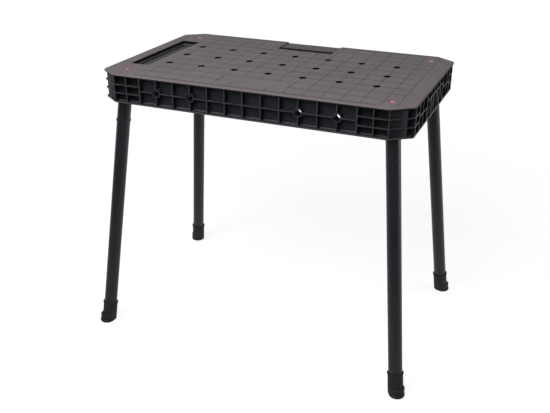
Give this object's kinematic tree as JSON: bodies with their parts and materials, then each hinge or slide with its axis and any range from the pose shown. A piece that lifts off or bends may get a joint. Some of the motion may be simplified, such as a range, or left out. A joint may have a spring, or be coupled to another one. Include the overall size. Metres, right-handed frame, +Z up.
{
  "type": "workbench",
  "caption": "Portable workbench with a gridded, dog-holed plastic top, side tray and carrying grip, on splayed round legs that unplug at push-button corner locks.",
  "frame": {"origin": "on the floor under the middle of the deck, with the legs locked in", "axes": "+X along the long side with the tool tray at the -X end, +Y towards the hand slot and carrying grip, +Z up"},
  "size_m": [0.975, 0.643, 0.792],
  "materials": {
    "deck_plastic": "fine texture, mid grey",
    "tray_plastic": "fine texture, dark grey",
    "frame_plastic": "satin moulding, near black",
    "button_plastic": "glossy red",
    "leg_paint": "satin powder coat, charcoal",
    "core_plastic": "matte black",
    "rivet_steel": "satin, charcoal",
    "lock_steel": "plain hardened steel",
    "screw_steel": "zinc plated",
    "foot_rubber": "matte black"
  },
  "bodies": {
    "frame": {"deck": "deck_plastic", "tool_tray": "tray_plastic", "front_rail": "frame_plastic", "rear_rail": "frame_plastic", "left_rail": "frame_plastic", "right_rail": "frame_plastic", "cross_beam_left": "frame_plastic", "cross_beam_right": "frame_plastic", "deck_screws": "screw_steel", "rail_screws": "screw_steel", "corner_block_fl": "frame_plastic", "corner_block_fr": "frame_plastic", "corner_block_rl": "frame_plastic", "corner_block_rr": "frame_plastic", "plate_pin_fl": "lock_steel", "plate_pin_fr": "lock_steel", "plate_pin_rl": "lock_steel", "plate_pin_rr": "lock_steel", "return_leaf_fl": "lock_steel", "return_leaf_fr": "lock_steel", "return_leaf_rl": "lock_steel", "return_leaf_rr": "lock_steel"},
    "leg_fl": {"leg_tube_fl": "leg_paint", "leg_core_fl": "core_plastic", "leg_rivet_fl": "rivet_steel", "rubber_foot_fl": "foot_rubber"},
    "button_fl": {"release_button_fl": "button_plastic"},
    "plate_fl": {"jam_plate_fl": "lock_steel"},
    "leg_fr": {"leg_tube_fr": "leg_paint", "leg_core_fr": "core_plastic", "leg_rivet_fr": "rivet_steel", "rubber_foot_fr": "foot_rubber"},
    "button_fr": {"release_button_fr": "button_plastic"},
    "plate_fr": {"jam_plate_fr": "lock_steel"},
    "leg_rl": {"leg_tube_rl": "leg_paint", "leg_core_rl": "core_plastic", "leg_rivet_rl": "rivet_steel", "rubber_foot_rl": "foot_rubber"},
    "button_rl": {"release_button_rl": "button_plastic"},
    "plate_rl": {"jam_plate_rl": "lock_steel"},
    "leg_rr": {"leg_tube_rr": "leg_paint", "leg_core_rr": "core_plastic", "leg_rivet_rr": "rivet_steel", "rubber_foot_rr": "foot_rubber"},
    "button_rr": {"release_button_rr": "button_plastic"},
    "plate_rr": {"jam_plate_rr": "lock_steel"}
  },
  "joints": [
    {"name": "leg_fl_slide", "type": "slide", "parent": "frame", "child": "leg_fl", "axis": [-0.1067, -0.1067, -0.9885], "range_m": [0, 0.075]},
    {"name": "button_fl_press", "type": "slide", "parent": "frame", "child": "button_fl", "axis": [0, 0, -1], "range_m": [0, 0.004], "stiffness_N_per_m": 800, "springref_m": -0.002},
    {"name": "plate_fl_tilt", "type": "hinge", "parent": "frame", "child": "plate_fl", "pos_m": [-0.39135, -0.22535, 0.776], "axis": [-0.7071, 0.7071, 0], "range_deg": [0, 6.37], "deforming": ["return_leaf_fl"]},
    {"name": "leg_fr_slide", "type": "slide", "parent": "frame", "child": "leg_fr", "axis": [0.1067, -0.1067, -0.9885], "range_m": [0, 0.075]},
    {"name": "button_fr_press", "type": "slide", "parent": "frame", "child": "button_fr", "axis": [0, 0, -1], "range_m": [0, 0.004], "stiffness_N_per_m": 800, "springref_m": -0.002},
    {"name": "plate_fr_tilt", "type": "hinge", "parent": "frame", "child": "plate_fr", "pos_m": [0.39135, -0.22535, 0.776], "axis": [-0.7071, -0.7071, 0], "range_deg": [0, 6.37], "deforming": ["return_leaf_fr"]},
    {"name": "leg_rl_slide", "type": "slide", "parent": "frame", "child": "leg_rl", "axis": [-0.1067, 0.1067, -0.9885], "range_m": [0, 0.075]},
    {"name": "button_rl_press", "type": "slide", "parent": "frame", "child": "button_rl", "axis": [0, 0, -1], "range_m": [0, 0.004], "stiffness_N_per_m": 800, "springref_m": -0.002},
    {"name": "plate_rl_tilt", "type": "hinge", "parent": "frame", "child": "plate_rl", "pos_m": [-0.39135, 0.22535, 0.776], "axis": [0.7071, 0.7071, 0], "range_deg": [0, 6.37], "deforming": ["return_leaf_rl"]},
    {"name": "leg_rr_slide", "type": "slide", "parent": "frame", "child": "leg_rr", "axis": [0.1067, 0.1067, -0.9885], "range_m": [0, 0.075]},
    {"name": "button_rr_press", "type": "slide", "parent": "frame", "child": "button_rr", "axis": [0, 0, -1], "range_m": [0, 0.004], "stiffness_N_per_m": 800, "springref_m": -0.002},
    {"name": "plate_rr_tilt", "type": "hinge", "parent": "frame", "child": "plate_rr", "pos_m": [0.39135, 0.22535, 0.776], "axis": [0.7071, -0.7071, 0], "range_deg": [0, 6.37], "deforming": ["return_leaf_rr"]}
  ],
  "couplings": [
    {"joint": "plate_fl_tilt", "follows": "button_fl_press", "rad_per_m": 27.78},
    {"joint": "plate_fr_tilt", "follows": "button_fr_press", "rad_per_m": 27.78},
    {"joint": "plate_rl_tilt", "follows": "button_rl_press", "rad_per_m": 27.78},
    {"joint": "plate_rr_tilt", "follows": "button_rr_press", "rad_per_m": 27.78}
  ]
}
